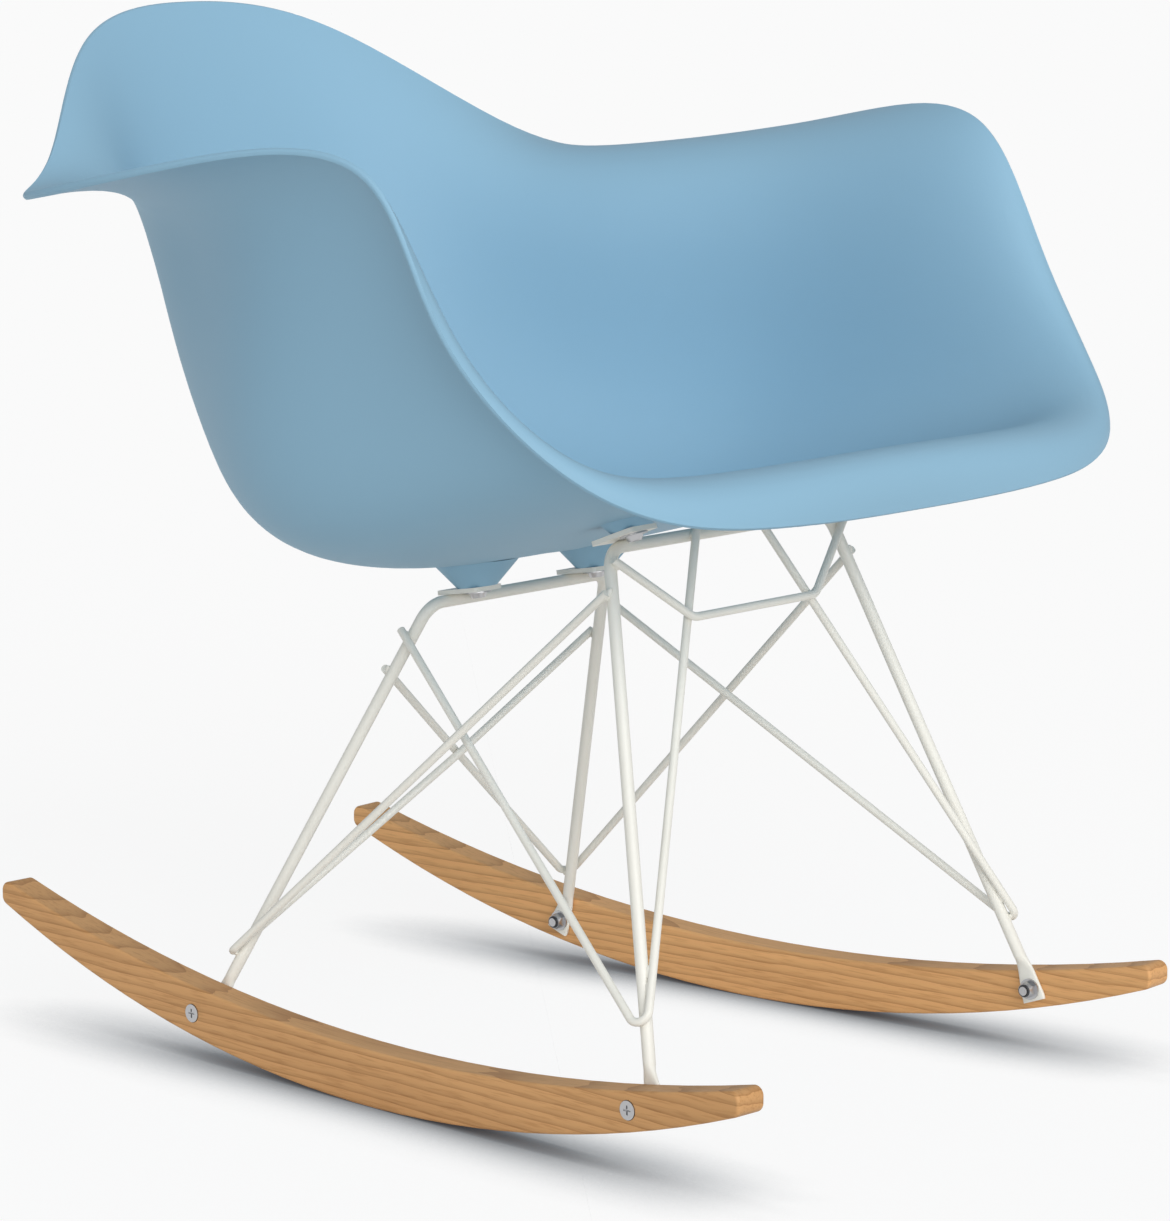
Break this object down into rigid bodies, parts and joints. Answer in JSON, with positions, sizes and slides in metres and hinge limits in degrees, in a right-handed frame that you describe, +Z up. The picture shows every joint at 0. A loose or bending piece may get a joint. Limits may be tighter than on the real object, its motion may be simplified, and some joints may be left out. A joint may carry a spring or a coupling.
{
  "type": "rocking chair",
  "caption": "Moulded one-piece armchair shell on a welded steel rod base, bolted to curved wooden rockers.",
  "frame": {"origin": "on the floor plane under the middle of the chair's length and width", "axes": "+Z up, the chair faces -Y, +X is the sitter's left"},
  "size_m": [0.6566, 0.6861, 0.6805],
  "materials": {
    "shell_plastic": "smooth matte moulded plastic, pale blue",
    "frame_paint": "satin off-white powder coat on steel rod",
    "rocker_wood": "clear satin lacquer on pale ash",
    "fastener_steel": "bright zinc plated steel",
    "insert_brass": "plain turned brass"
  },
  "bodies": {
    "root": {"seat_shell": "shell_plastic", "front_brace_left": "frame_paint", "rear_brace_left": "frame_paint", "rocker_left": "rocker_wood", "seat_plate_front_left": "frame_paint", "seat_washer_front_left": "fastener_steel", "seat_screw_front_left": "fastener_steel", "seat_insert_front_left": "insert_brass", "rocker_bolt_front_left": "fastener_steel", "rocker_washer_front_left": "fastener_steel", "rocker_nut_front_left": "fastener_steel", "seat_plate_rear_left": "frame_paint", "seat_washer_rear_left": "fastener_steel", "seat_screw_rear_left": "fastener_steel", "seat_insert_rear_left": "insert_brass", "rocker_bolt_rear_left": "fastener_steel", "rocker_washer_rear_left": "fastener_steel", "rocker_nut_rear_left": "fastener_steel", "front_brace_right": "frame_paint", "rear_brace_right": "frame_paint", "rocker_right": "rocker_wood", "seat_plate_front_right": "frame_paint", "seat_washer_front_right": "fastener_steel", "seat_screw_front_right": "fastener_steel", "seat_insert_front_right": "insert_brass", "rocker_bolt_front_right": "fastener_steel", "rocker_washer_front_right": "fastener_steel", "rocker_nut_front_right": "fastener_steel", "seat_plate_rear_right": "frame_paint", "seat_washer_rear_right": "fastener_steel", "seat_screw_rear_right": "fastener_steel", "seat_insert_rear_right": "insert_brass", "rocker_bolt_rear_right": "fastener_steel", "rocker_washer_rear_right": "fastener_steel", "rocker_nut_rear_right": "fastener_steel", "front_leg_rod": "frame_paint", "rear_leg_rod": "frame_paint", "front_cross_bar": "frame_paint"}
  },
  "joints": []
}
